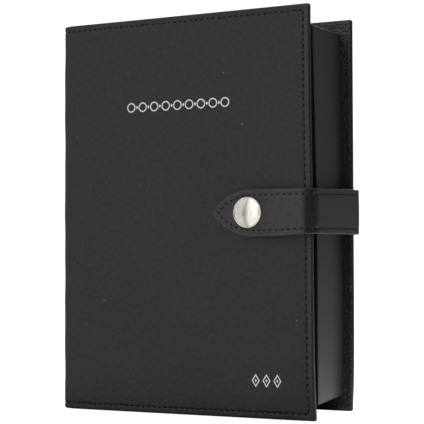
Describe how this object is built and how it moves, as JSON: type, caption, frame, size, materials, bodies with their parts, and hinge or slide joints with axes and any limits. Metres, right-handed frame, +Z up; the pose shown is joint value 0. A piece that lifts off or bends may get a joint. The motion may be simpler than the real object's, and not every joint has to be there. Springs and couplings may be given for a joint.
{
  "type": "leather ring book",
  "caption": "Book-shaped leather case for finger rings: hinged cover and spine, tray of velvet ring rolls, and a strap closed by a press snap.",
  "frame": {"origin": "on the surface the case stands on, under the middle of its bounding box", "axes": "+Z up along the spine, -Y towards the viewer of the front cover, -X towards the spine, +X towards the fore-edge and its strap"},
  "size_m": [0.1436, 0.0632, 0.2],
  "materials": {
    "cover_leather": "matte",
    "lining_leather": "matte pebbled",
    "strap_leather": "satin",
    "strap_lining": "matte",
    "leatherette": "satin",
    "velvet": "velvet",
    "thread": "matte",
    "foam": "matte",
    "greyboard": "matte",
    "snap_cap_metal": "satin nickel",
    "snap_metal": "satin nickel"
  },
  "bodies": {
    "box": {"back_cover_leather": "cover_leather", "back_cover_board": "greyboard", "back_cover_lining": "lining_leather", "back_cover_stitching": "thread", "back_joint_leather": "cover_leather", "tray_base_board": "greyboard", "tray_top_wall": "greyboard", "tray_bottom_wall": "greyboard", "tray_fore_edge_wall": "greyboard", "tray_spine_wall": "greyboard", "tray_wrap": "leatherette", "tray_lining": "velvet", "tray_floor_lining": "velvet", "ring_roll_sleeve_1": "velvet", "ring_roll_sleeve_2": "velvet", "ring_roll_sleeve_3": "velvet", "ring_roll_sleeve_4": "velvet", "ring_roll_sleeve_5": "velvet", "ring_roll_sleeve_6": "velvet", "ring_roll_sleeve_7": "velvet", "ring_roll_sleeve_8": "velvet", "ring_roll_sleeve_9": "velvet", "ring_roll_foam_1": "foam", "ring_roll_foam_2": "foam", "ring_roll_foam_3": "foam", "ring_roll_foam_4": "foam", "ring_roll_foam_5": "foam", "ring_roll_foam_6": "foam", "ring_roll_foam_7": "foam", "ring_roll_foam_8": "foam", "ring_roll_foam_9": "foam", "strap_tail_leather": "strap_leather", "strap_tail_lining": "strap_lining", "strap_tail_stitching": "thread"},
    "spine": {"spine_leather": "cover_leather", "spine_board": "greyboard", "spine_lining": "lining_leather", "spine_stitching": "thread", "front_joint_leather": "cover_leather"},
    "front_cover": {"front_cover_leather": "cover_leather", "front_cover_board": "greyboard", "front_cover_lining": "lining_leather", "front_cover_stitching": "thread", "lid_pad_velvet": "velvet", "lid_pad_foam": "foam", "snap_stud": "snap_metal", "snap_post": "snap_metal"},
    "strap_side": {"strap_side_leather": "strap_leather", "strap_side_lining": "strap_lining", "strap_side_stitching": "thread", "strap_back_bend_leather": "strap_leather", "strap_back_bend_lining": "strap_lining"},
    "strap_end": {"strap_tip_leather": "strap_leather", "strap_tip_lining": "strap_lining", "strap_tip_stitching": "thread", "strap_front_bend_leather": "strap_leather", "strap_front_bend_lining": "strap_lining", "snap_cap": "snap_cap_metal", "snap_socket": "snap_metal"}
  },
  "joints": [
    {"name": "spine_hinge", "type": "hinge", "parent": "box", "child": "spine", "pos_m": [-0.07105, 0.02852, 0.1], "axis": [0, 0, -1], "range_deg": [0, 90], "deforming": ["back_joint_leather"]},
    {"name": "cover_hinge", "type": "hinge", "parent": "spine", "child": "front_cover", "pos_m": [-0.07105, -0.02407, 0.1], "axis": [0, 0, -1], "range_deg": [0, 90], "deforming": ["front_joint_leather"]},
    {"name": "strap_hinge", "type": "hinge", "parent": "box", "child": "strap_side", "pos_m": [0.07014, 0.02996, 0.0998], "axis": [0, 0, 1], "range_deg": [0, 90], "deforming": ["strap_back_bend_leather", "strap_back_bend_lining"]},
    {"name": "strap_end_fold", "type": "hinge", "parent": "strap_side", "child": "strap_end", "pos_m": [0.06928, -0.02721, 0.0998], "axis": [0, 0, 1], "range_deg": [0, 90], "deforming": ["strap_front_bend_leather", "strap_front_bend_lining"]}
  ]
}
